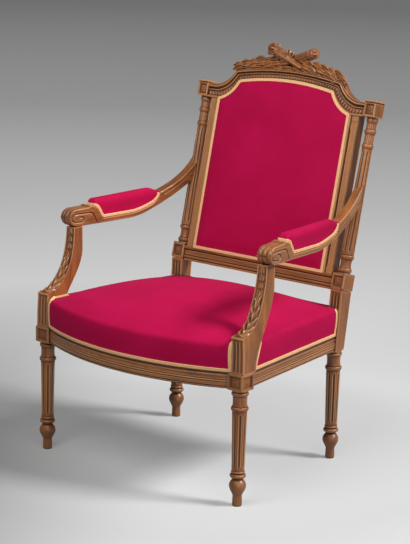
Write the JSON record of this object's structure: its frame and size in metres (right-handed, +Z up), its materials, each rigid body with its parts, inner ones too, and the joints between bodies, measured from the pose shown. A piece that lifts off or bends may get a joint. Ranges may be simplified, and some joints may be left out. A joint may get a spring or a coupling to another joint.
{
  "type": "armchair",
  "caption": "Carved walnut open armchair with fluted turned legs, a bowed sprung seat, a framed padded back under a carved crest and padded scrolled arms, to sit in at a desk or table.",
  "frame": {"origin": "on the floor, under the middle of the whole chair's outer box", "axes": "+Z up, -Y towards the chair's front, +X to the right as seen from in front"},
  "size_m": [0.676, 0.696, 1.0324],
  "materials": {
    "walnut": "satin wax over carved walnut",
    "beech": "unfinished",
    "crimson_cloth": "close plain cloth with a soft sheen",
    "gold_gimp": "woven gold braid",
    "jute": "plain hessian and webbing",
    "horsehair": "curled hair stuffing",
    "spring_steel": "bare wire"
  },
  "bodies": {
    "root": {"front_leg_left": "walnut", "front_leg_right": "walnut", "back_post_left": "walnut", "back_post_right": "walnut", "front_seat_rail": "walnut", "side_seat_rail_left": "walnut", "side_seat_rail_right": "walnut", "back_seat_rail": "walnut", "corner_brace_front_left": "beech", "corner_brace_front_right": "beech", "corner_brace_back_left": "beech", "corner_brace_back_right": "beech", "arm_support_left": "walnut", "arm_support_right": "walnut", "arm_left": "walnut", "arm_right": "walnut", "arm_pad_left": "crimson_cloth", "arm_pad_right": "crimson_cloth", "arm_pad_gimp_left": "gold_gimp", "arm_pad_gimp_right": "gold_gimp", "crest_rail": "walnut", "back_bottom_rail": "walnut", "back_stile_left": "walnut", "back_stile_right": "walnut", "crest_torch": "walnut", "crest_quiver": "walnut", "crest_laurel_left": "walnut", "crest_laurel_right": "walnut", "seat_webbing": "jute", "seat_dust_cover": "jute", "seat_spring_1": "spring_steel", "seat_spring_2": "spring_steel", "seat_spring_3": "spring_steel", "seat_spring_4": "spring_steel", "seat_spring_5": "spring_steel", "seat_spring_6": "spring_steel", "seat_spring_7": "spring_steel", "seat_spring_8": "spring_steel", "seat_spring_9": "spring_steel", "seat_hessian": "jute", "seat_stuffing": "horsehair", "seat_cover": "crimson_cloth", "seat_gimp_front": "gold_gimp", "seat_gimp_left": "gold_gimp", "seat_gimp_right": "gold_gimp", "seat_gimp_back": "gold_gimp", "back_hessian": "jute", "outside_back_cover": "crimson_cloth", "back_cover": "crimson_cloth", "back_stuffing": "horsehair", "back_gimp": "gold_gimp", "outside_back_gimp": "gold_gimp"}
  },
  "joints": []
}
